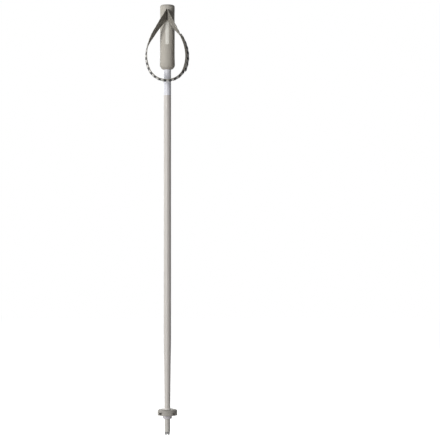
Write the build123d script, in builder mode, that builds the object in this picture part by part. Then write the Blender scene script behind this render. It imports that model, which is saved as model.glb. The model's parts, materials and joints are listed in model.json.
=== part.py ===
"""A fixed-length alpine ski pole, 105 cm, with a wrist strap, a push-on basket and a crown tip.

The Z axis runs up the middle of the shaft from z = 0 at the points of the tip.
The strap leaves the grip towards -Y.
Millimetres throughout.
"""

import os

from build123d import *

# ---------- driving dimensions ----------

# whole pole
pole_length = 1050.0  # tip points to the top of the cap
glue_gap = 0.03  # between pieces that are pressed or glued together

# shaft
shaft_radius = 9.0
shaft_wall = 1.0
taper_top_z = 238.0  # the shaft narrows from here down to the basket
band_height = 62.5  # pale foil sleeve below the grip
band_thickness = 0.12

# tip and ferrule
tip_height = 8.0
tip_prong_depth = 3.6  # depth of the notches between the four points
tip_notch_width = 5.0
tip_hollow_depth = 2.6
tip_stem_radius = 2.5
tip_stem_length = 22.0
tip_step = 0.6  # the steel is this much smaller than the ferrule, in radius
ferrule_radius = 6.65
seat_step = 0.45  # the basket seat stands out from the ferrule by this
ferrule_length = 44.0  # from the steel to the end of the shaft tube
spigot_length = 40.0  # the ferrule's plug inside the shaft

# basket and its hub
basket_radius = 24.0
basket_height = 14.1
basket_wall = 2.0
basket_bottom_z = 48.6
basket_edge_round = 4.5
boss_wall = 2.4
hub_fit = 0.05  # hub bore over the ferrule seat
spin_fit = 0.05  # basket boss round the hub
end_play = 0.15  # basket boss between the two collars
hub_wall = 2.4
collar_width = 1.1  # upper collar beyond the hub barrel
collar_height = 2.2
ring_height = 8.5
ring_wall = 1.4
window_count = 4
window_width = 10.0
window_height = 5.6
window_lip = 2.0  # skirt left below a window
rib_thickness = 1.6

# grip
grip_length = 157.5  # bottom of the rubber to the top of the cap
grip_flat = 1.5  # half the straight stretch of the oval section, along Y
head_radius = 17.85
waist_radius = 17.45
palm_radius = 17.7
flare_radius = 18.25
mouth_radius = 9.8  # bottom end of the rubber
shoulder_height = 12.0
shoulder_bulge = 2.6  # how far the shoulder arc stands out from its chord
core_wall = 3.5
lip_height = 4.5  # rubber below the core
grip_fit = 0.05  # core bore over the shaft
cap_height = 8.0
cap_round = 5.5
cap_skirt_height = 3.0
cap_skirt_wall = 1.6
cap_fit = 0.05
finger_count = 4
finger_pitch = 25.0
finger_radius = 13.0
finger_reach = 20.5  # radius of the groove's floor in plan, wider than the grip so that it fades out
finger_depth = 1.9
finger_edge_round = 3.0
inlay_width = 8.4
inlay_length = 57.5
inlay_recess = 0.15
inlay_gap = 0.05

# strap and its fixing
strap_width = 25.0
strap_thickness = 2.0
strap_clear = 0.35  # webbing to whatever it must not touch
slot_headroom = 1.25  # slot above and below the webbing
slot_roof = 3.5
slot_to_inlay = 1.5
pin_radius = 2.0
pin_y = 4.0
pin_fit = 0.05
pin_socket_depth = 6.0
pin_head_depth = 4.5  # pin held in the cap
socket_floor = 4.0  # core left between the pin socket and the end of the shaft
loop_radius = 51.5  # middle of the webbing round the bottom of the loop
loop_drop = 162.0  # slot middle to the underside of the loop
loop_side_bulge = 10.0  # how far the sides of the loop stand out from straight
loop_offset_x = -0.5
strap_stand_off = 2.8  # hanging webbing in front of the widest part of the grip
strap_lean = 58.0  # steepest forward direction of hanging webbing from the hinge, degrees below it
overlay_top_drop = 51.0  # slot middle to the top of the sewn-on layer
overlay_length = 87.0

# ---------- places worked out from them ----------

ferrule_bottom_z = tip_height
tube_bottom_z = ferrule_bottom_z + ferrule_length
seat_radius = ferrule_radius + seat_step
basket_top_z = basket_bottom_z + basket_height
collar_bottom_z = basket_top_z + end_play
collar_top_z = collar_bottom_z + collar_height
ring_top_z = basket_bottom_z - end_play
ring_bottom_z = ring_top_z - ring_height
hub_bore = seat_radius + hub_fit
hub_radius = hub_bore + hub_wall
ring_socket_radius = hub_bore + hub_wall / 2
ring_radius = hub_radius + ring_wall

grip_bottom_z = pole_length - grip_length
seam_z = pole_length - cap_height
slot_top_z = seam_z - slot_roof
slot_bottom_z = slot_top_z - strap_width - 2 * slot_headroom
slot_z = (slot_top_z + slot_bottom_z) / 2
socket_bottom_z = slot_bottom_z - pin_socket_depth
shaft_top_z = socket_bottom_z - socket_floor
neck_radius = shaft_radius - band_thickness - glue_gap  # shaft under the foil and the grip
core_bore = neck_radius + grip_fit
core_radius = core_bore + core_wall
core_bottom_z = grip_bottom_z + lip_height
skirt_radius = core_radius + cap_fit + cap_skirt_wall
band_top_z = grip_bottom_z - strap_clear
band_bottom_z = band_top_z - band_height
inlay_top_z = slot_bottom_z - slot_to_inlay
inlay_z = inlay_top_z - inlay_length / 2

half_strap = strap_thickness / 2
fold_radius = pin_radius + strap_clear + strap_thickness  # webbing round the pin
hinge_y = -(flare_radius + grip_flat + 0.75)
strap_back_y = -(flare_radius + grip_flat + strap_stand_off)
strap_front_y = strap_back_y - strap_width
swing_radius = strap_width / 2 + 0.5  # webbing nearer to the hinge than this stays with the grip
loop_bottom_z = slot_z - loop_drop
loop_z = loop_bottom_z + loop_radius + strap_thickness / 2
apex_z = slot_z + strap_width / 2

os.makedirs("parts", exist_ok=True)


# ---------- shaft ----------

# Drawn aluminium tube: straight under the grip, tapered to the basket, its lower end hidden in the hub.
with BuildPart() as shaft_tube:
    with BuildSketch(Plane.XZ):
        with BuildLine():
            Polyline(
                (seat_radius - shaft_wall, tube_bottom_z),
                (seat_radius, tube_bottom_z),
                (seat_radius, collar_top_z),
                (shaft_radius, taper_top_z),
                (shaft_radius, band_bottom_z - glue_gap),
                (neck_radius, band_bottom_z - glue_gap),
                (neck_radius, shaft_top_z),
                (neck_radius - shaft_wall, shaft_top_z),
                (neck_radius - shaft_wall, taper_top_z),
                (seat_radius - shaft_wall, collar_top_z),
                close=True,
            )
        make_face()
    revolve(axis=Axis.Z)

# Pale foil sleeve wrapped on the shaft just below the grip, flush with the lacquer.
with BuildPart() as shaft_band:
    with BuildSketch(Plane.XY.offset(band_bottom_z)):
        Circle(shaft_radius)
        Circle(neck_radius + glue_gap, mode=Mode.SUBTRACT)
    extrude(amount=band_height)


# ---------- grip ----------


def oval(profile):
    """Solid with an oval section from half a side view: two half turns and a straight middle."""
    half = Plane.XZ * profile
    with BuildPart() as body:
        for side in (-1, 1):
            shifted = Pos(0, side * grip_flat, 0) * half
            revolve(shifted, axis=Axis((0, side * grip_flat, 0), (0, 0, 1)), revolution_arc=side * 180)
        extrude(half + mirror(half, about=Plane.YZ), amount=grip_flat, both=True)
    return body.part


def grip_side(inset=0.0):
    """Half side view of the grip below its cap, drawn in by an inset."""
    waist_z = slot_bottom_z + 5
    palm_z = (inlay_z + waist_z) / 2
    flare_z = grip_bottom_z + shoulder_height
    start = Vector(flare_radius - inset, flare_z)
    end = Vector(mouth_radius - inset, grip_bottom_z)
    outward = Vector(1, -1).normalized() * shoulder_bulge
    with BuildSketch() as side:
        with BuildLine():
            Line((0, grip_bottom_z), end)
            ThreePointArc(end, (start + end) / 2 + outward, start)
            palm = (palm_radius - inset, flare_z + 2 * shoulder_height)
            Spline(start, palm, tangents=[(0, 1), (0, 1)])
            head = (head_radius - inset, seam_z)
            upper_palm = (palm_radius - inset, palm_z)
            waist = (waist_radius - inset, waist_z)
            Spline(palm, upper_palm, waist, head, tangents=[(0, 1), (0, 1)])
            Polyline(head, (0, seam_z), (0, grip_bottom_z))
        make_face()
    return side.sketch


def inlay_outline(gap=0.0):
    """Stadium of the pale inlay on the strap side of the grip."""
    with BuildSketch(Plane.XZ) as outline:
        with Locations((0, inlay_z)):
            SlotOverall(inlay_length + 2 * gap, inlay_width + 2 * gap, rotation=90)
    return outline.sketch


def strap_channel(gap=0.0):
    """Plan of the webbing folded round its pin, from behind the pin out past the front of the grip."""
    with BuildSketch(Plane.XY.offset(slot_z)) as plan:
        with Locations((0, pin_y)):
            Circle(fold_radius + gap)
        with Locations((0, strap_back_y - half_strap)):
            Rectangle(2 * (strap_thickness + gap), strap_thickness, align=(Align.CENTER, Align.MIN))
        make_hull()
    return plan.sketch


grip_outside = oval(grip_side())
inlay = extrude(inlay_outline(), amount=2 * flare_radius) & oval(grip_side(inlay_recess))
inlay_window = extrude(inlay_outline(inlay_gap), amount=2 * flare_radius)
strap_box = extrude(strap_channel(strap_clear), amount=(slot_top_z - slot_bottom_z) / 2, both=True)

# Hard white inner moulding: socket for the shaft, box for the strap, and the inlay on the strap side.
with BuildPart() as grip_core:
    with BuildSketch(Plane.XY.offset(core_bottom_z)):
        Circle(core_radius)
    extrude(amount=seam_z - core_bottom_z)
    add(inlay)
    with BuildSketch(Plane.XY.offset(core_bottom_z)):
        Circle(core_bore)
    extrude(amount=shaft_top_z + glue_gap - core_bottom_z, mode=Mode.SUBTRACT)
    add(strap_box, mode=Mode.SUBTRACT)
    with BuildSketch(Plane.XY.offset(socket_bottom_z)):
        with Locations((0, pin_y)):
            Circle(pin_radius + pin_fit)
    extrude(amount=seam_z - socket_bottom_z, mode=Mode.SUBTRACT)

# Soft outer moulding, with the inlay's window, the slot's mouth and finger grooves on the far side.
with BuildPart() as grip_shell:
    add(grip_outside)
    with BuildSketch(Plane.XY.offset(core_bottom_z)):
        Circle(core_radius)
    extrude(amount=seam_z - core_bottom_z, mode=Mode.SUBTRACT)
    with BuildSketch(Plane.XY.offset(grip_bottom_z)):
        Circle(core_bore)
    extrude(amount=lip_height, mode=Mode.SUBTRACT)
    with BuildSketch(Plane.XY.offset(seam_z)):
        Circle(skirt_radius + cap_fit)
    extrude(amount=-cap_skirt_height - cap_fit, mode=Mode.SUBTRACT)
    add(inlay_window, mode=Mode.SUBTRACT)
    add(strap_box, mode=Mode.SUBTRACT)
    grooves_top_z = slot_z - finger_pitch / 2
    groove_y = palm_radius + grip_flat - finger_depth - finger_reach
    for finger in range(finger_count):
        with Locations((0, groove_y, grooves_top_z - finger * finger_pitch)):
            Torus(finger_reach + finger_radius, finger_radius, mode=Mode.SUBTRACT)
    grooves = grip_shell.faces().filter_by(GeomType.TORUS)
    grooves = grooves.filter_by(lambda face: abs(face.radii[1] - finger_radius) < glue_gap)
    fillet(grooves.edges(), finger_edge_round)

with BuildSketch() as cap_side:
    with Locations((0, seam_z)):
        Rectangle(head_radius, cap_height, align=(Align.MIN, Align.MIN))
    fillet(cap_side.vertices().group_by(Axis.Y)[-1].sort_by(Axis.X)[-1], cap_round)
cap_outside = oval(cap_side.sketch)

# Cap that closes the strap box. Its skirt snaps between the two mouldings.
with BuildPart() as top_cap:
    add(cap_outside)
    with BuildSketch(Plane.XY.offset(seam_z)):
        Circle(skirt_radius)
        Circle(skirt_radius - cap_skirt_wall, mode=Mode.SUBTRACT)
    extrude(amount=-cap_skirt_height)
    with BuildSketch(Plane.XY.offset(seam_z)):
        with Locations((0, pin_y)):
            Circle(pin_radius + glue_gap)
    extrude(amount=pin_head_depth, mode=Mode.SUBTRACT)

# Steel pin that the webbing is folded round. It is moulded into the cap and lifts out with it.
with BuildPart() as strap_pin:
    with BuildSketch(Plane.XY.offset(socket_bottom_z + strap_clear)):
        with Locations((0, pin_y)):
            Circle(pin_radius)
    extrude(amount=seam_z + pin_head_depth - glue_gap - socket_bottom_z - strap_clear)
    chamfer(strap_pin.edges().group_by(Axis.Z)[0], 0.4)


# ---------- strap ----------


def teardrop(offset_by):
    """Face inside the loop's middle line, grown by an offset: a round bottom and two full sides."""
    apex = Vector(0, apex_z)
    bottom = Vector(loop_offset_x, loop_z - loop_radius)
    left, right = (Vector(loop_offset_x + side * loop_radius, loop_z) for side in (-1, 1))
    with BuildSketch(Plane.XZ) as face:
        with BuildLine():
            ThreePointArc(left, bottom, right)
            for widest, turn in ((left, 90), (right, -90)):
                outward = (apex - widest).normalized().rotate(Axis.Z, turn)
                ThreePointArc(widest, (apex + widest) / 2 + outward * loop_side_bulge, apex)
        make_face()
        offset(amount=offset_by)
    return face.sketch


def webbing(inner, outer, clear_of_hinge):
    """Band of the loop between two offsets of its middle line, clear of the hinge or next to it."""
    ring = teardrop(outer) - teardrop(inner)
    with BuildPart() as band:
        extrude(ring, amount=-strap_front_y)
        with BuildSketch(Plane.YZ):
            with BuildLine():
                lean = Vector(-1, 0).rotate(Axis.Z, 90 - strap_lean)
                brow = Vector(hinge_y, slot_z) + lean * (swing_radius + strap_clear)
                Polyline(
                    (strap_back_y, loop_bottom_z - strap_width),
                    (strap_front_y, loop_bottom_z - strap_width),
                    (strap_front_y, slot_z - 1.5 * strap_width),
                    (brow.X, brow.Y),
                    (strap_back_y - strap_thickness, apex_z + strap_width),
                    (strap_back_y, apex_z + strap_width),
                    close=True,
                )
            make_face()
        extrude(amount=2 * loop_radius, both=True, mode=Mode.INTERSECT)
        with BuildSketch(Plane.YZ):
            with Locations((hinge_y, slot_z)):
                if clear_of_hinge:
                    Circle(swing_radius + strap_clear)
                    Rectangle(4 * strap_width, 4 * strap_width, align=(Align.CENTER, Align.MIN))
                else:
                    Circle(swing_radius)
        keep = Mode.SUBTRACT if clear_of_hinge else Mode.INTERSECT
        extrude(amount=2 * loop_radius, both=True, mode=keep)
    return band.part


overlay_inner = half_strap + glue_gap
loop_root = webbing(-half_strap, half_strap, clear_of_hinge=False)
loop_band = webbing(-half_strap, half_strap, clear_of_hinge=True)
sewn_band = webbing(overlay_inner, overlay_inner + strap_thickness, clear_of_hinge=True)
folded_webbing = extrude(strap_channel(), amount=strap_width / 2, both=True)

# Webbing inside the grip: folded round the pin, out through the slot, parting into the two sides of the loop.
with BuildPart() as strap_anchor:
    add(folded_webbing)
    with BuildSketch(Plane.XY.offset(slot_z - strap_width / 2)):
        with Locations((0, pin_y)):
            Circle(pin_radius + strap_clear)
        with Locations((0, pin_y - 2 * fold_radius)):
            Circle(strap_clear)
        make_hull()
    extrude(amount=strap_width, mode=Mode.SUBTRACT)
    add(loop_root)

# The loop that hangs in front of the grip and takes the hand.
with BuildPart() as strap_loop:
    add(loop_band)

# Second layer sewn on the outside of one side of the loop, where the webbing's ends join.
with BuildPart() as strap_overlay:
    add(sewn_band)
    overlay_bottom_z = slot_z - overlay_top_drop - overlay_length
    with BuildSketch(Plane.XY.offset(overlay_bottom_z)):
        Rectangle(2 * loop_radius, -4 * strap_front_y, align=(Align.MIN, Align.CENTER))
    extrude(amount=overlay_length, mode=Mode.INTERSECT)


# ---------- ferrule and tip ----------

# Moulded ferrule: its spigot plugs the shaft tube, its seat carries the basket hub.
with BuildPart() as ferrule:
    spigot_radius = seat_radius - shaft_wall - glue_gap
    seat_bottom_z = ring_bottom_z - 2 * seat_step
    with BuildSketch(Plane.XZ):
        with BuildLine():
            Polyline(
                (0, ferrule_bottom_z),
                (ferrule_radius, ferrule_bottom_z),
                (ferrule_radius, seat_bottom_z),
                (seat_radius, seat_bottom_z + seat_step),
                (seat_radius, tube_bottom_z - glue_gap),
                (spigot_radius, tube_bottom_z - glue_gap),
                (spigot_radius, tube_bottom_z + spigot_length),
                (0, tube_bottom_z + spigot_length),
                close=True,
            )
        make_face()
    revolve(axis=Axis.Z)
    with BuildSketch(Plane.XY.offset(ferrule_bottom_z)):
        Circle(tip_stem_radius + glue_gap)
    extrude(amount=tip_stem_length + glue_gap, mode=Mode.SUBTRACT)

# Hardened crown tip: a stem in the ferrule and a hollow-ground end notched into four points.
with BuildPart() as tip_insert:
    crown_radius = ferrule_radius - tip_step
    with BuildSketch(Plane.XZ):
        with BuildLine():
            Line((tip_stem_radius, tip_height - glue_gap), (tip_stem_radius, tip_height + tip_stem_length))
            Line((tip_stem_radius, tip_height + tip_stem_length), (0, tip_height + tip_stem_length))
            Line((0, tip_height + tip_stem_length), (0, tip_hollow_depth))
            rim = (crown_radius - tip_step, 0)
            ThreePointArc((0, tip_hollow_depth), (crown_radius / 2, tip_hollow_depth * 0.7), rim)
            Line(rim, (crown_radius, tip_height / 2))
            Polyline(
                (crown_radius, tip_height / 2),
                (crown_radius, tip_height - glue_gap),
                (tip_stem_radius, tip_height - glue_gap),
            )
        make_face()
    revolve(axis=Axis.Z)
    for cut in (Plane.XZ, Plane.YZ):
        with BuildSketch(cut):
            with BuildLine():
                Polyline(
                    (-tip_notch_width / 2, 0),
                    (0, tip_prong_depth),
                    (tip_notch_width / 2, 0),
                    close=True,
                )
            make_face()
        extrude(amount=2 * crown_radius, both=True, mode=Mode.SUBTRACT)


# ---------- basket ----------

# White bush that pushes up over the ferrule to the foot of the taper. Its collar shows above the basket.
with BuildPart() as hub_bush:
    with BuildSketch(Plane.XZ):
        with BuildLine():
            Polyline(
                (hub_bore, ring_bottom_z + ring_wall),
                (ring_socket_radius, ring_bottom_z + ring_wall),
                (ring_socket_radius, ring_top_z),
                (hub_radius, ring_top_z),
                (hub_radius, collar_bottom_z),
                (hub_radius + collar_width, collar_bottom_z),
                (hub_radius + collar_width, collar_top_z),
                (hub_bore, collar_top_z),
                close=True,
            )
        make_face()
    revolve(axis=Axis.Z)
    chamfer(hub_bush.edges().group_by(Axis.Z)[-1].sort_by(SortBy.RADIUS)[-1], collar_width / 2)

# Retaining ring pressed on the bush from below. It holds the basket up and shows under it.
with BuildPart() as hub_ring:
    with BuildSketch(Plane.XZ):
        with BuildLine():
            Polyline(
                (hub_bore, ring_bottom_z),
                (ring_radius, ring_bottom_z),
                (ring_radius, ring_top_z),
                (ring_socket_radius + glue_gap, ring_top_z),
                (ring_socket_radius + glue_gap, ring_bottom_z + ring_wall - glue_gap),
                (hub_bore, ring_bottom_z + ring_wall - glue_gap),
                close=True,
            )
        make_face()
    revolve(axis=Axis.Z)
    fillet(hub_ring.edges().group_by(Axis.Z)[0].sort_by(SortBy.RADIUS)[-1], ring_wall)

# Inverted cup with a boss round the bush, four ribs and four low windows in its skirt.
with BuildPart() as basket:
    boss_bore = hub_radius + spin_fit
    plate_z = basket_top_z - basket_wall
    with BuildSketch(Plane.XY.offset(basket_bottom_z)):
        Circle(basket_radius)
    extrude(amount=basket_height)
    fillet(basket.edges().group_by(Axis.Z)[-1], basket_edge_round)
    with BuildSketch(Plane.XY.offset(basket_bottom_z)):
        Circle(basket_radius - basket_wall)
        Circle(boss_bore + boss_wall, mode=Mode.SUBTRACT)
        with PolarLocations(0, window_count):
            Rectangle(basket_radius, rib_thickness, align=(Align.MIN, Align.CENTER), mode=Mode.SUBTRACT)
    extrude(amount=plate_z - basket_bottom_z, mode=Mode.SUBTRACT)
    with BuildSketch(Plane.XY.offset(basket_bottom_z + window_lip)):
        with PolarLocations(basket_radius, window_count, start_angle=45):
            Rectangle(3 * basket_wall, window_width)
    extrude(amount=window_height, mode=Mode.SUBTRACT)
    with BuildSketch(Plane.XY.offset(basket_bottom_z)):
        Circle(boss_bore)
    extrude(amount=basket_height, mode=Mode.SUBTRACT)


# ---------- files ----------

pieces = {
    "shaft_tube": shaft_tube,
    "shaft_band": shaft_band,
    "grip_core": grip_core,
    "grip_shell": grip_shell,
    "top_cap": top_cap,
    "strap_pin": strap_pin,
    "strap_anchor": strap_anchor,
    "strap_loop": strap_loop,
    "strap_overlay": strap_overlay,
    "ferrule": ferrule,
    "tip_insert": tip_insert,
    "hub_bush": hub_bush,
    "hub_ring": hub_ring,
    "basket": basket,
}
for name, piece in pieces.items():
    piece.part.label = name
    export_step(piece.part, f"parts/{name}.step")
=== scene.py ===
"""Looks of a fixed-length alpine ski pole: camera, studio, materials and the woven wrist strap."""

import json
import math

import bmesh
import bpy
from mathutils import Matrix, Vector


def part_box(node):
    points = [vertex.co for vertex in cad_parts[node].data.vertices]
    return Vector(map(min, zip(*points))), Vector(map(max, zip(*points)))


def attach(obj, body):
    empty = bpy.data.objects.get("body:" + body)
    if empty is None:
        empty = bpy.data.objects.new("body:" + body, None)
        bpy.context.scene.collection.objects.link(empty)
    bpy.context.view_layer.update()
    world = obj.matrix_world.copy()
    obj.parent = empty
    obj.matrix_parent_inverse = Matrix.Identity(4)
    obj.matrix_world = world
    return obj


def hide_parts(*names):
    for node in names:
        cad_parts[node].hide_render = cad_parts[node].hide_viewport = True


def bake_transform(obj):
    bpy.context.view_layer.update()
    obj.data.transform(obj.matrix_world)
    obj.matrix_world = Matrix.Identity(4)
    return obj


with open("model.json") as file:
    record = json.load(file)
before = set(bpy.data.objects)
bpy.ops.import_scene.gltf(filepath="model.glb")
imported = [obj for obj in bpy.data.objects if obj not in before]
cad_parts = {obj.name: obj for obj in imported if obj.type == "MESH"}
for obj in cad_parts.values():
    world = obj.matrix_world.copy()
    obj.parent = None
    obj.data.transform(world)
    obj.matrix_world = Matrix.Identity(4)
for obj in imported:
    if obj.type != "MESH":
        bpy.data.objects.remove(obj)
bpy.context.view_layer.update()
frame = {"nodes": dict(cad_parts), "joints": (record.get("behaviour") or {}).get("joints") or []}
scene = bpy.context.scene
MM = 0.001


# ---------- places read from the frame ----------

hinge = next(joint for joint in frame["joints"] if joint["name"] == "strap_swing")
hinge_y, hinge_z = hinge["pos_m"][1], hinge["pos_m"][2]
loop_low, loop_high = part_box("strap_loop")
pin_low, pin_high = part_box("strap_pin")
overlay_low, overlay_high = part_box("strap_overlay")


# ---------- camera ----------

POLE_TO_CAMERA = 3.9
POLE_LEFT_OF_CENTRE = 0.1285
FRAME_WIDTH = 1.075  # metres across the picture at the pole
CAMERA_HEIGHT = 0.525
SENSOR = 36.0

lens = bpy.data.cameras.new("camera")
lens.sensor_width = SENSOR
lens.lens = SENSOR * POLE_TO_CAMERA / FRAME_WIDTH
lens.clip_start = 0.05
lens.clip_end = 60
camera = bpy.data.objects.new("camera", lens)
camera.location = (POLE_LEFT_OF_CENTRE, -POLE_TO_CAMERA, CAMERA_HEIGHT)
camera.rotation_euler = (math.radians(90), 0, 0)
scene.collection.objects.link(camera)
scene.camera = camera


# ---------- node helpers ----------


class Shader:
    """A material's node tree, with short calls that add a node and link it."""

    def __init__(self, name):
        self.material = bpy.data.materials.new(name)
        self.material.use_nodes = True
        self.tree = self.material.node_tree
        self.bsdf = self.tree.nodes["Principled BSDF"]
        self.output = self.tree.nodes["Material Output"]

    def add(self, kind, settings=None, **inputs):
        node = self.tree.nodes.new("ShaderNode" + kind)
        for key, value in (settings or {}).items():
            setattr(node, key, value)
        for key, value in inputs.items():
            self.set(node, key.replace("_", " "), value)
        return node

    def set(self, node, key, value):
        """Links value to an input if it is a socket, and otherwise sets it there as a constant."""
        socket = node.inputs[int(key) if key.isdigit() else key]
        if isinstance(value, bpy.types.NodeSocket):
            self.tree.links.new(value, socket)
        else:
            socket.default_value = value

    def principled(self, **inputs):
        for key, value in inputs.items():
            self.set(self.bsdf, key.replace("_", " "), value)

    def maths(self, operation, a, b=0.0):
        node = self.add("Math", {"operation": operation})
        self.set(node, "0", a)
        self.set(node, "1", b)
        return node.outputs[0]

    def weighted(self, share, a, b):
        """The given share of a, and the rest of b."""
        return self.maths("ADD", self.maths("MULTIPLY", a, share), self.maths("MULTIPLY", b, 1 - share))

    def varied(self, base, value, amount):
        """base, raised by amount where value is 1."""
        return self.maths("ADD", base, self.maths("MULTIPLY", value, amount))

    def mix(self, factor, a, b):
        """Colour a where factor is 0 and b where it is 1."""
        node = self.add("Mix", {"data_type": "RGBA"})
        self.set(node, "Factor", factor)
        self.set(node, "6", a)
        self.set(node, "7", b)
        return node.outputs[2]

    def ramp(self, value, low, high):
        """value mapped so that low becomes 0 and high becomes 1, clamped."""
        node = self.add("MapRange", Value=value)
        node.inputs["From Min"].default_value = low
        node.inputs["From Max"].default_value = high
        return node.outputs[0]

    def position(self):
        """Object coordinates, which are metres in the frame."""
        return self.add("TexCoord").outputs["Object"]

    def axis(self, vector, letter):
        return self.add("SeparateXYZ", Vector=vector).outputs[letter]

    def scaled(self, vector, factors):
        node = self.add("VectorMath", {"operation": "MULTIPLY"})
        self.set(node, "0", vector)
        self.set(node, "1", factors)
        return node.outputs[0]

    def noise(self, scale, detail=3.0, roughness=0.5, vector=None):
        """Noise from 0 to 1, over the frame's metres unless another vector is given."""
        place = vector or self.position()
        node = self.add("TexNoise", Vector=place, Scale=scale, Detail=detail, Roughness=roughness)
        return node.outputs["Fac"]

    def stretched_noise(self, scales, detail, roughness):
        """Noise with its own scale along each axis, for lines that run one way."""
        return self.noise(1.0, detail, roughness, self.scaled(self.position(), scales))

    def bump(self, height, strength, distance, normal=None):
        node = self.add("Bump", Height=height, Strength=strength, Distance=distance)
        if normal:
            self.set(node, "Normal", normal)
        return node.outputs[0]


def srgb(red, green, blue):
    """Linear colour from 0 to 255 display values."""

    def linear(value):
        value = value / 255
        return value / 12.92 if value <= 0.04045 else ((value + 0.055) / 1.055) ** 2.4

    return (linear(red), linear(green), linear(blue), 1.0)


# ---------- materials ----------


def edge_wear(shader, amount):
    """0 to 1: where an edge stands out, broken up by noise."""
    pointy = shader.add("NewGeometry").outputs["Pointiness"]
    edge = shader.ramp(pointy, low=0.52, high=0.58)
    return shader.maths("MULTIPLY", edge, shader.maths("MULTIPLY", shader.noise(scale=420), amount))


def lacquered_metal():
    """Satin lacquer on the drawn shaft: faint mottling and fine lengthwise streaks."""
    s = Shader("shaft_lacquer")
    streaks = s.stretched_noise((900, 900, 9), detail=4, roughness=0.6)
    mottle = s.noise(scale=26)
    tone = s.weighted(0.35, streaks, mottle)
    fleck = s.noise(scale=1400, detail=2)
    s.principled(Base_Color=s.mix(tone, srgb(206, 200, 194), srgb(219, 214, 208)), Metallic=0.0, IOR=1.5)
    s.principled(Coat_Weight=0.25, Coat_Roughness=0.22, Specular_IOR_Level=0.45)
    s.principled(Roughness=s.varied(0.34, streaks, 0.16))
    s.principled(Normal=s.bump(fleck, strength=0.08, distance=0.05 * MM))
    return s.material


def band_foil():
    """Pale foil sleeve: cool white, a little glossier than the lacquer."""
    s = Shader("band_foil")
    mottle = s.noise(scale=60)
    fleck = s.noise(scale=900, detail=2)
    s.principled(Base_Color=s.mix(mottle, srgb(228, 228, 236), srgb(238, 238, 244)))
    s.principled(Roughness=s.varied(0.3, mottle, 0.1), Specular_IOR_Level=0.5)
    s.principled(Normal=s.bump(fleck, strength=0.08, distance=0.05 * MM))
    return s.material


def soft_grip(name):
    """Soft-touch moulding: matt beige-grey with fine grain and paler, rubbed edges."""
    s = Shader(name)
    grain = s.add("TexVoronoi", Vector=s.position(), Scale=2600).outputs["Distance"]
    mottle = s.noise(scale=34, detail=4)
    fine = s.noise(scale=700)
    colour = s.mix(s.weighted(0.6, mottle, fine), srgb(190, 185, 175), srgb(204, 199, 189))
    s.principled(Base_Color=s.mix(edge_wear(s, 0.5), colour, srgb(214, 210, 201)))
    s.principled(Roughness=s.varied(0.52, mottle, 0.2), Specular_IOR_Level=0.2)
    under = s.bump(fine, strength=0.15, distance=0.1 * MM)
    s.principled(Normal=s.bump(grain, strength=0.25, distance=0.12 * MM, normal=under))
    return s.material


def moulded(name, dark, light, roughness=0.42, grain=1500):
    """Plain moulded plastic with a fine spark-eroded grain."""
    s = Shader(name)
    fine = s.noise(scale=grain)
    mottle = s.noise(scale=50)
    colour = s.mix(s.weighted(0.7, mottle, fine), dark, light)
    s.principled(Base_Color=s.mix(edge_wear(s, 0.4), colour, light))
    s.principled(Roughness=s.varied(roughness, mottle, 0.14), Specular_IOR_Level=0.4)
    s.principled(Normal=s.bump(fine, strength=0.12, distance=0.08 * MM))
    return s.material


def tip_steel():
    """Hardened steel: turned lines round the axis, brighter at the ground points, faint pitting."""
    s = Shader("tip_steel")
    rings = s.stretched_noise((40, 40, 5200), detail=3, roughness=0.5)
    pits = s.noise(scale=1600)
    ground = s.ramp(s.axis(s.position(), "Z"), low=5.0 * MM, high=1.0 * MM)
    colour = s.mix(ground, srgb(104, 104, 103), srgb(160, 160, 159))
    s.principled(Base_Color=s.mix(s.maths("MULTIPLY", pits, 0.35), colour, srgb(112, 110, 108)), Metallic=1.0)
    s.principled(Roughness=s.varied(0.26, rings, 0.22))
    s.principled(Normal=s.bump(rings, strength=0.2, distance=0.06 * MM))
    return s.material


def plain_steel():
    """Drawn steel pin, with faint lines along it."""
    s = Shader("pin_steel")
    lines = s.stretched_noise((2400, 2400, 60), detail=3, roughness=0.5)
    s.principled(Base_Color=s.mix(lines, srgb(168, 168, 168), srgb(196, 196, 196)), Metallic=1.0)
    s.principled(Roughness=s.varied(0.24, lines, 0.2))
    return s.material


CAD_MATERIALS = {
    "shaft_tube": lacquered_metal(),
    "shaft_band": band_foil(),
    "grip_core": moulded("core_plastic", srgb(236, 233, 224), srgb(246, 244, 236), roughness=0.38),
    "grip_shell": soft_grip("soft_grip"),
    "top_cap": soft_grip("cap_plastic"),
    "strap_pin": plain_steel(),
    "ferrule": moulded("ferrule_plastic", srgb(200, 196, 190), srgb(212, 208, 202)),
    "tip_insert": tip_steel(),
    "hub_bush": moulded("hub_plastic", srgb(246, 242, 238), srgb(252, 248, 245), roughness=0.36),
    "hub_ring": moulded("ring_plastic", srgb(218, 213, 218), srgb(230, 225, 229), roughness=0.36),
    "basket": moulded("basket_plastic", srgb(160, 155, 148), srgb(184, 180, 173), roughness=0.5, grain=500),
}
for node, material in CAD_MATERIALS.items():
    mesh = frame["nodes"][node].data
    mesh.materials.clear()
    mesh.materials.append(material)


# ---------- the strap: its route ----------

# Lengths in this part are millimetres. Each station of the route is the middle of the webbing and the
# direction of its width, which points to the edge that is on top in the slot and at the front of the loop.
WEBBING_THICKNESS = 1.9
WEBBING_WIDTH = 25.0
STATIONS = 520  # evenly spaced frames once round the strap
FINE_STEPS = 60  # points between two stations, before they are spaced evenly
STRAND_FROM_MIDDLE = 1.15  # each of the two strands in the slot from the slot's middle plane
SLOT_END = 1.0  # the last station in the slot lies this far behind the hinge
FOLD_FROM_PIN = 1.35  # middle of the webbing from the pin's surface

exit_y = hinge_y / MM + SLOT_END
middle_y = (loop_low.y + loop_high.y) / 2 / MM
slot_z = hinge_z / MM
pin_y = (pin_low.y + pin_high.y) / 2 / MM
fold = (pin_high.x - pin_low.x) / 2 / MM + FOLD_FROM_PIN

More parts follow.
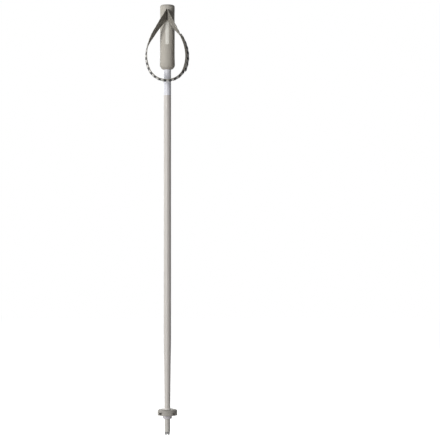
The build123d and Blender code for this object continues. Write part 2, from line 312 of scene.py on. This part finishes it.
# From the back of the pin to the slot's mouth, as (x, y). The other strand is its mirror image.
FOLD = [
    (0.0, pin_y + fold),
    (-0.7 * fold, pin_y + 0.7 * fold),
    (-fold, pin_y),
    (-2.5, pin_y - 9),
    (-1.7, pin_y - 17),
    (-STRAND_FROM_MIDDLE, exit_y),
]
LEFT = [
    ((-4.3, middle_y + 6.5, 1017.0), (-0.18, -0.67, 0.72)),
    ((-11.2, middle_y + 1.5, 1007.5), (-0.38, -0.88, 0.28)),
    ((-22.3, middle_y, 991.0), (-0.27, -0.94, 0.17)),
    ((-34.4, middle_y, 971.5), (-0.20, -0.97, 0.10)),
    ((-45.2, middle_y, 948.5), (0.02, -0.99, 0.0)),
    ((-49.8, middle_y, 923.0), (0.17, -0.98, 0.0)),
    ((-46.8, middle_y, 901.0), (0.19, -0.98, 0.07)),
    ((-38.2, middle_y, 882.0), (0.13, -0.98, 0.11)),
    ((-21.5, middle_y, 868.2), (0.06, -0.99, 0.12)),
]
BOTTOM = [((0.0, middle_y, 863.6), (0.0, -0.99, 0.12))]
RIGHT = [
    ((21.5, middle_y, 868.6), (-0.06, -0.99, 0.12)),
    ((36.6, middle_y, 881.5), (-0.13, -0.98, 0.11)),
    ((44.6, middle_y, 900.5), (-0.19, -0.98, 0.07)),
    ((47.4, middle_y, 923.0), (-0.21, -0.98, 0.0)),
    ((43.2, middle_y, 948.0), (-0.17, -0.98, -0.05)),
    ((33.0, middle_y, 970.0), (-0.04, -0.99, 0.0)),
    ((20.3, middle_y, 990.0), (0.24, -0.95, 0.17)),
    ((10.2, middle_y + 1.5, 1006.5), (0.33, -0.90, 0.26)),
    ((4.1, middle_y + 6.5, 1017.0), (0.16, -0.68, 0.72)),
]


def strap_stations():
    """Every station as (place, width direction), once round the loop and back to the pin."""
    upright = Vector((0, 0, 1))
    inside = [(Vector((x, y, slot_z)), upright) for x, y in FOLD]
    outside = [(Vector(place), Vector(width)) for place, width in LEFT + BOTTOM + RIGHT]
    back = [(Vector((-x, y, slot_z)), upright) for x, y in reversed(FOLD)]
    return inside + outside + back


def catmull_rom(a, b, c, d, t):
    """Point between b and c on the smooth curve through all four."""
    return 0.5 * (2 * b + (c - a) * t + (2 * a - 5 * b + 4 * c - d) * t * t + (3 * b - a - 3 * c + d) * t**3)


def even_frames(stations, count):
    """Evenly spaced (middle, width, along, distance) once round a closed route, width square to the run."""
    fine = []
    for i in range(len(stations) - 1):
        four = [stations[k % (len(stations) - 1)] for k in range(i - 1, i + 3)]
        for step in range(FINE_STEPS):
            t = step / FINE_STEPS
            fine.append((catmull_rom(*[s[0] for s in four], t), catmull_rom(*[s[1] for s in four], t)))
    fine.append(stations[-1])
    run = [0.0]
    for (a, _), (b, _) in zip(fine, fine[1:]):
        run.append(run[-1] + (b - a).length)
    points = []
    i = 0
    for step in range(count + 1):
        distance = run[-1] * step / count
        while run[i + 1] < distance and i < len(fine) - 2:
            i += 1
        t = (distance - run[i]) / (run[i + 1] - run[i])
        points.append((fine[i][0].lerp(fine[i + 1][0], t), fine[i][1].lerp(fine[i + 1][1], t), distance))
    even = []
    for i, (middle, width, distance) in enumerate(points):
        along = (points[(i + 1) % count or count][0] - points[(i - 1) % count][0]).normalized()
        width = (width - along * width.dot(along)).normalized()
        even.append((middle, width, along, distance))
    return even


# ---------- the strap: its meshes ----------

ACROSS = 16  # steps across the webbing
SELVEDGE = 1  # of them, those that stay plain at each edge
EDGE_THINNING = 0.75  # share of the thickness that is gone at the very edge
EDGE_SHARPNESS = 12  # power that keeps the thinning near the edge
CUP = 1.3  # the middle of the hanging webbing bows outward by this
BLOCK_PITCH = 13.0  # one dark and one pale block of the woven pattern
BLOCK_LENGTH = 6.4
BLOCK_RISE = 0.6  # dark yarn stands this proud of the pale ground
BLOCK_SLOPE = 0.5  # length of the step up to a dark block
BLOCK_SHARPNESS = 8  # power that keeps the blocks level up to their ends
RELIEF_FADE = 12.0  # the bow and the blocks grow to full height over this length outside the slot
MERGE_WITHIN = 0.01


def smooth(low, high, value):
    """0 at low, 1 at high, with level ends."""
    t = min(max((value - low) / (high - low), 0.0), 1.0)
    return t * t * (3 - 2 * t)


def block(distance, phase):
    """1 on a dark block of the pattern and 0 on the pale ground, with short slopes between."""
    from_middle = abs((distance + phase) % BLOCK_PITCH - BLOCK_PITCH / 2)
    return min(max((BLOCK_LENGTH / 2 - from_middle) / BLOCK_SLOPE + 0.5, 0.0), 1.0)


def relief(middle, distance, phase, s):
    """How far the webbing bows out and its blocks rise at s, which is -1 to 1 across.

    Both fade to nothing inside the slot, which holds the webbing flat.
    """
    outside = smooth(exit_y, exit_y - RELIEF_FADE, middle.y)
    rise = BLOCK_RISE * outside * block(distance, phase) * (1 - abs(s) ** BLOCK_SHARPNESS)
    return CUP * outside * (1 - s * s), rise


def bridge(shape, rings):
    """Smooth faces between each ring of vertices and the next, as (position round the ring, face)."""
    size = len(rings[0])
    faces = []
    for a, b in zip(rings, rings[1:]):
        for j in range(size):
            face = shape.faces.new((a[j], a[(j + 1) % size], b[(j + 1) % size], b[j]))
            face.smooth = True
            faces.append((j, face))
    return faces


def piece_from(shape, name, materials):
    """Object made from a bmesh, with its faces turned outward."""
    bmesh.ops.recalc_face_normals(shape, faces=shape.faces)
    mesh = bpy.data.meshes.new(name)
    shape.to_mesh(mesh)
    shape.free()
    for material in materials:
        mesh.materials.append(material)
    piece = bpy.data.objects.new(name, mesh)
    scene.collection.objects.link(piece)
    return piece


def webbing(name, frames, offset, phase, materials, closed=False):
    """Band of webbing with rounded edges. Its outer face carries the pattern, and offset moves it outward."""
    shape = bmesh.new()
    layer = shape.verts.layers.float_vector.new("webbing")  # across, distance and phase, read by the material
    profile = [(-1 + 2 * j / ACROSS, 1) for j in range(ACROSS + 1)]
    profile += [(1 - 2 * j / ACROSS, -1) for j in range(ACROSS + 1)]
    rings = []
    for middle, width, along, distance in frames:
        inward = width.cross(along)
        ring = []
        for s, face in profile:
            depth = WEBBING_THICKNESS / 2 * (1 - EDGE_THINNING * abs(s) ** EDGE_SHARPNESS)
            bow, rise = relief(middle, distance, phase, s)
            height = offset + face * depth + bow + (rise if face > 0 else 0)
            vert = shape.verts.new((middle - inward * height + width * (s * WEBBING_WIDTH / 2)) * MM)
            vert[layer] = Vector((s * WEBBING_WIDTH / 2, distance, phase))
            ring.append(vert)
        rings.append(ring)
    for j, face in bridge(shape, rings):
        face.material_index = 0 if SELVEDGE <= j < ACROSS - SELVEDGE else 1
    if closed:
        bmesh.ops.remove_doubles(shape, verts=rings[0] + rings[-1], dist=MERGE_WITHIN * MM)
    else:
        for ring in (rings[0], rings[-1]):
            shape.faces.new(ring).material_index = 1
    return piece_from(shape, name, materials)


# ---------- the strap: its materials ----------

RIB_PITCH = 1.4  # weave along the webbing
YARN_PITCH = 1.1  # weave across it
RAGGED = 0.35  # the blocks' ends follow the weave by this
BLOCK_BLUR = 0.15  # half the length of the colour change at a block's end


def webbing_colours(name, patterned):
    """Woven polyester: ribs across and along, dark and pale blocks outside or plain beige-grey inside."""
    s = Shader(name)
    place = s.add("Attribute", {"attribute_name": "webbing"}).outputs["Vector"]
    split = s.add("SeparateXYZ", Vector=place)
    across, distance, phase = split.outputs["X"], split.outputs["Y"], split.outputs["Z"]
    rib = s.maths("SINE", s.maths("MULTIPLY", distance, 2 * math.pi / RIB_PITCH))
    yarn = s.maths("SINE", s.maths("MULTIPLY", across, 2 * math.pi / YARN_PITCH))
    weave = s.maths("MULTIPLY", rib, yarn)
    fuzz = s.noise(scale=1.6, detail=4, roughness=0.6, vector=place)
    mottle = s.noise(scale=0.12, vector=place)
    if patterned:
        ragged = s.maths("ADD", distance, s.maths("ADD", phase, s.maths("MULTIPLY", weave, RAGGED)))
        wrapped = s.maths("WRAP", ragged, BLOCK_PITCH)
        from_middle = s.maths("ABSOLUTE", s.maths("SUBTRACT", wrapped, BLOCK_PITCH / 2))
        dark = s.ramp(from_middle, low=BLOCK_LENGTH / 2 + BLOCK_BLUR, high=BLOCK_LENGTH / 2 - BLOCK_BLUR)
        ground = s.mix(mottle, srgb(238, 235, 228), srgb(250, 248, 243))
        black = s.mix(fuzz, srgb(18, 18, 19), srgb(40, 39, 40))
        colour = s.mix(dark, ground, black)
    else:
        colour = s.mix(s.weighted(0.6, mottle, fuzz), srgb(150, 145, 135), srgb(176, 171, 160))
    # Painted shade: the colour darkens toward near-black in the hollows between the yarns of the weave.
    painted_yarn_shade = s.mix(0.35, colour, srgb(30, 29, 28))  # between the yarns
    s.principled(Base_Color=s.mix(s.ramp(weave, low=-1.4, high=1.0), painted_yarn_shade, colour))
    s.principled(Roughness=s.varied(0.68, fuzz, 0.2), Specular_IOR_Level=0.25)
    s.principled(Sheen_Weight=0.15, Sheen_Roughness=0.6)
    s.principled(Normal=s.bump(s.varied(weave, fuzz, 0.6), strength=0.5, distance=0.25 * MM))
    return s.material


def thread_colour():
    """Bonded sewing thread, twisted, off-white."""
    s = Shader("sewing_thread")
    twist = s.noise(scale=5200)
    s.principled(Base_Color=s.mix(twist, srgb(196, 191, 180), srgb(232, 228, 219)), Sheen_Weight=0.2)
    s.principled(Roughness=s.varied(0.5, twist, 0.2))
    s.principled(Normal=s.bump(twist, strength=0.4, distance=0.1 * MM))
    return s.material


# ---------- the strap: its pieces ----------

RIGHT_SIDE = 20.0  # the second layer lies on the strand beyond this x
OVERLAY_PHASE = 4.0  # its pattern is out of step with the strap's by this
LAYER_GAP = 0.05

webbing_materials = (webbing_colours("webbing_outside", True), webbing_colours("webbing_inside", False))
strap_frames = even_frames(strap_stations(), STATIONS)
strap = webbing("strap_webbing", strap_frames, 0.0, 0.0, webbing_materials, closed=True)

# The two ends of the webbing overlap on the right side of the loop and are sewn there.
overlay_bottom, overlay_top = overlay_low.z / MM, overlay_high.z / MM
overlay_frames = [f for f in strap_frames if f[0].x > RIGHT_SIDE and overlay_bottom < f[0].z < overlay_top]
overlay_offset = WEBBING_THICKNESS + BLOCK_RISE + LAYER_GAP
overlay = webbing("strap_second_layer", overlay_frames, overlay_offset, OVERLAY_PHASE, webbing_materials)

STITCH_LENGTH = 2.4
STITCH_RADIUS = 0.3
STITCH_END = 0.45  # share of the radius that is left at a stitch's ends
STITCH_SINK = 0.1  # depth of the ends below the surface
STITCH_GAP = 0.08  # share of each stitch's length left free at either end
STITCH_STEPS = 5
STITCH_SIDES = 6
STITCH_BOX = (17.0, 14.0)  # across and along the webbing
TACK_MARGIN = 3.0  # from the end of the second layer to the box


def stitch_lines():
    """The box and cross of a sewn tack, as (across, along) start and end points about its middle."""
    half_across, half_along = STITCH_BOX[0] / 2, STITCH_BOX[1] / 2
    corners = [
        (-half_across, -half_along),
        (half_across, -half_along),
        (half_across, half_along),
        (-half_across, half_along),
    ]
    lines = [(corners[k], corners[(k + 1) % 4]) for k in range(4)]
    return lines + [(corners[0], corners[2]), (corners[1], corners[3])]


def add_stitch(shape, start, end, outward):
    """One raised stitch: a short round thread that dips into the webbing at both ends."""
    run = end - start
    side = run.cross(outward).normalized()
    turns = [math.pi * 2 * k / STITCH_SIDES for k in range(STITCH_SIDES)]
    rings = []
    for step in range(STITCH_STEPS + 1):
        t = step / STITCH_STEPS
        swell = math.sin(math.pi * t)
        middle = start + run * t + outward * (swell * STITCH_RADIUS - STITCH_SINK)
        radius = STITCH_RADIUS * (STITCH_END + (1 - STITCH_END) * swell)
        round_middle = [(side * math.cos(a) + outward * math.sin(a)) * radius for a in turns]
        rings.append([shape.verts.new((middle + spoke) * MM) for spoke in round_middle])
    bridge(shape, rings)
    shape.faces.new(rings[0])
    shape.faces.new(rings[-1])


def sewn_point(index, across, surface):
    """A point on a face of the sewn layers, and that face's outward direction."""
    nearest = min(max(round(index), 0), len(overlay_frames) - 1)
    middle, width, along, distance = overlay_frames[nearest]
    bow, rise = relief(middle, distance, OVERLAY_PHASE, 2 * across / WEBBING_WIDTH)
    height = surface + bow + (rise if surface > 0 else 0)
    normal = -width.cross(along)
    return middle + normal * height + width * across, normal if surface > 0 else -normal


def sew_line(shape, line, centre, spacing, surface):
    """A row of stitches along one line of a tack, whose middle is at the frame centre."""
    (across_0, along_0), (across_1, along_1) = line
    count = max(int(math.hypot(across_1 - across_0, along_1 - along_0) / STITCH_LENGTH), 1)
    for k in range(count):
        ends = []
        for t in ((k + STITCH_GAP) / count, (k + 1 - STITCH_GAP) / count):
            index = centre + (along_0 + (along_1 - along_0) * t) / spacing
            point, outward = sewn_point(index, across_0 + (across_1 - across_0) * t, surface)
            ends.append(point)
        if (ends[1] - ends[0]).length > STITCH_RADIUS:
            add_stitch(shape, ends[0], ends[1], outward)


def sewn_tacks():
    """Box-and-cross tacks through both layers at each end of the second layer, showing outside and inside."""
    shape = bmesh.new()
    spacing = (overlay_frames[-1][3] - overlay_frames[0][3]) / (len(overlay_frames) - 1)
    reach = int((STITCH_BOX[1] / 2 + TACK_MARGIN) / spacing)
    for centre in (reach, len(overlay_frames) - 1 - reach):
        for surface in (overlay_offset + WEBBING_THICKNESS / 2, -WEBBING_THICKNESS / 2):
            for line in stitch_lines():
                sew_line(shape, line, centre, spacing, surface)
    return piece_from(shape, "strap_stitching", [thread_colour()])


stitching = sewn_tacks()
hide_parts("strap_anchor", "strap_loop")
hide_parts("strap_overlay")
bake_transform(strap)
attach(overlay, "strap")
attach(stitching, "strap")


# ---------- studio ----------

# name, place, the point it faces, (width, height) and watts. Lengths are metres.
LAMPS = [
    ("key", (-1.9, -2.7, 1.0), (0, 0, 0.52), (0.6, 2.4), 78),
    ("left_fill", (-2.8, 0.5, 1.3), (0, 0, 0.5), (1.2, 1.8), 17),
    ("back_fill", (-0.8, 2.8, 1.4), (0, 0, 0.5), (2.4, 2.4), 32),
]
WORLD_ON_OBJECT = 0.055  # strength of the world as a light; the camera sees it at 1
FLOOR_GREY = 0.65
FLOOR_GLOW = 0.96  # seen by the camera on top of the lamps' light
FLOOR_SIZE = 12.0
# The pole is held by its grip, this far above the floor, so that the basket can come off over the tip.
FLOOR_DROP = 90.0 * MM
WHITE = (1, 1, 1, 1)


def area_light(name, location, target, size, power):
    """Rectangular lamp at location, turned to face target."""
    lamp = bpy.data.lights.new(name, "AREA")
    lamp.shape = "RECTANGLE"
    lamp.size, lamp.size_y = size
    lamp.energy = power
    holder = bpy.data.objects.new(name, lamp)
    holder.location = location
    holder.rotation_euler = (Vector(target) - Vector(location)).to_track_quat("-Z", "Y").to_euler()
    scene.collection.objects.link(holder)


def background_rays(tree):
    """1 for the rays that see the white background, which come from the camera, reflections or glass."""
    path = tree.nodes.new("ShaderNodeLightPath")
    seen = path.outputs["Is Camera Ray"]
    for ray in ("Is Glossy Ray", "Is Transmission Ray"):
        either = tree.nodes.new("ShaderNodeMath")
        either.operation = "MAXIMUM"
        tree.links.new(seen, either.inputs[0])
        tree.links.new(path.outputs[ray], either.inputs[1])
        seen = either.outputs[0]
    return seen


for lamp_row in LAMPS:
    area_light(*lamp_row)

world = bpy.data.worlds.new("world")
scene.world = world
world.use_nodes = True
sky = world.node_tree
strength = sky.nodes.new("ShaderNodeMapRange")
strength.inputs["To Min"].default_value = WORLD_ON_OBJECT
strength.inputs["To Max"].default_value = 1.0
sky.links.new(background_rays(sky), strength.inputs["Value"])
background = sky.nodes["Background"]
background.inputs["Color"].default_value = WHITE
sky.links.new(strength.outputs[0], background.inputs["Strength"])

bpy.ops.mesh.primitive_plane_add(size=FLOOR_SIZE, location=(0, 0, -FLOOR_DROP))
floor = bpy.context.object
floor.name = "floor"
floor_shader = Shader("floor")
floor_grey = (FLOOR_GREY, FLOOR_GREY, FLOOR_GREY, 1)
floor_shader.principled(Base_Color=floor_grey, Roughness=0.9, Specular_IOR_Level=0.0)
glow_strength = floor_shader.maths("MULTIPLY", background_rays(floor_shader.tree), FLOOR_GLOW)
glow = floor_shader.add("Emission", Color=WHITE, Strength=glow_strength)
total = floor_shader.add("AddShader")
floor_shader.set(total, "0", floor_shader.bsdf.outputs[0])
floor_shader.set(total, "1", glow.outputs[0])
floor_shader.set(floor_shader.output, "Surface", total.outputs[0])
floor.data.materials.append(floor_shader.material)

scene.view_settings.view_transform = "Standard"
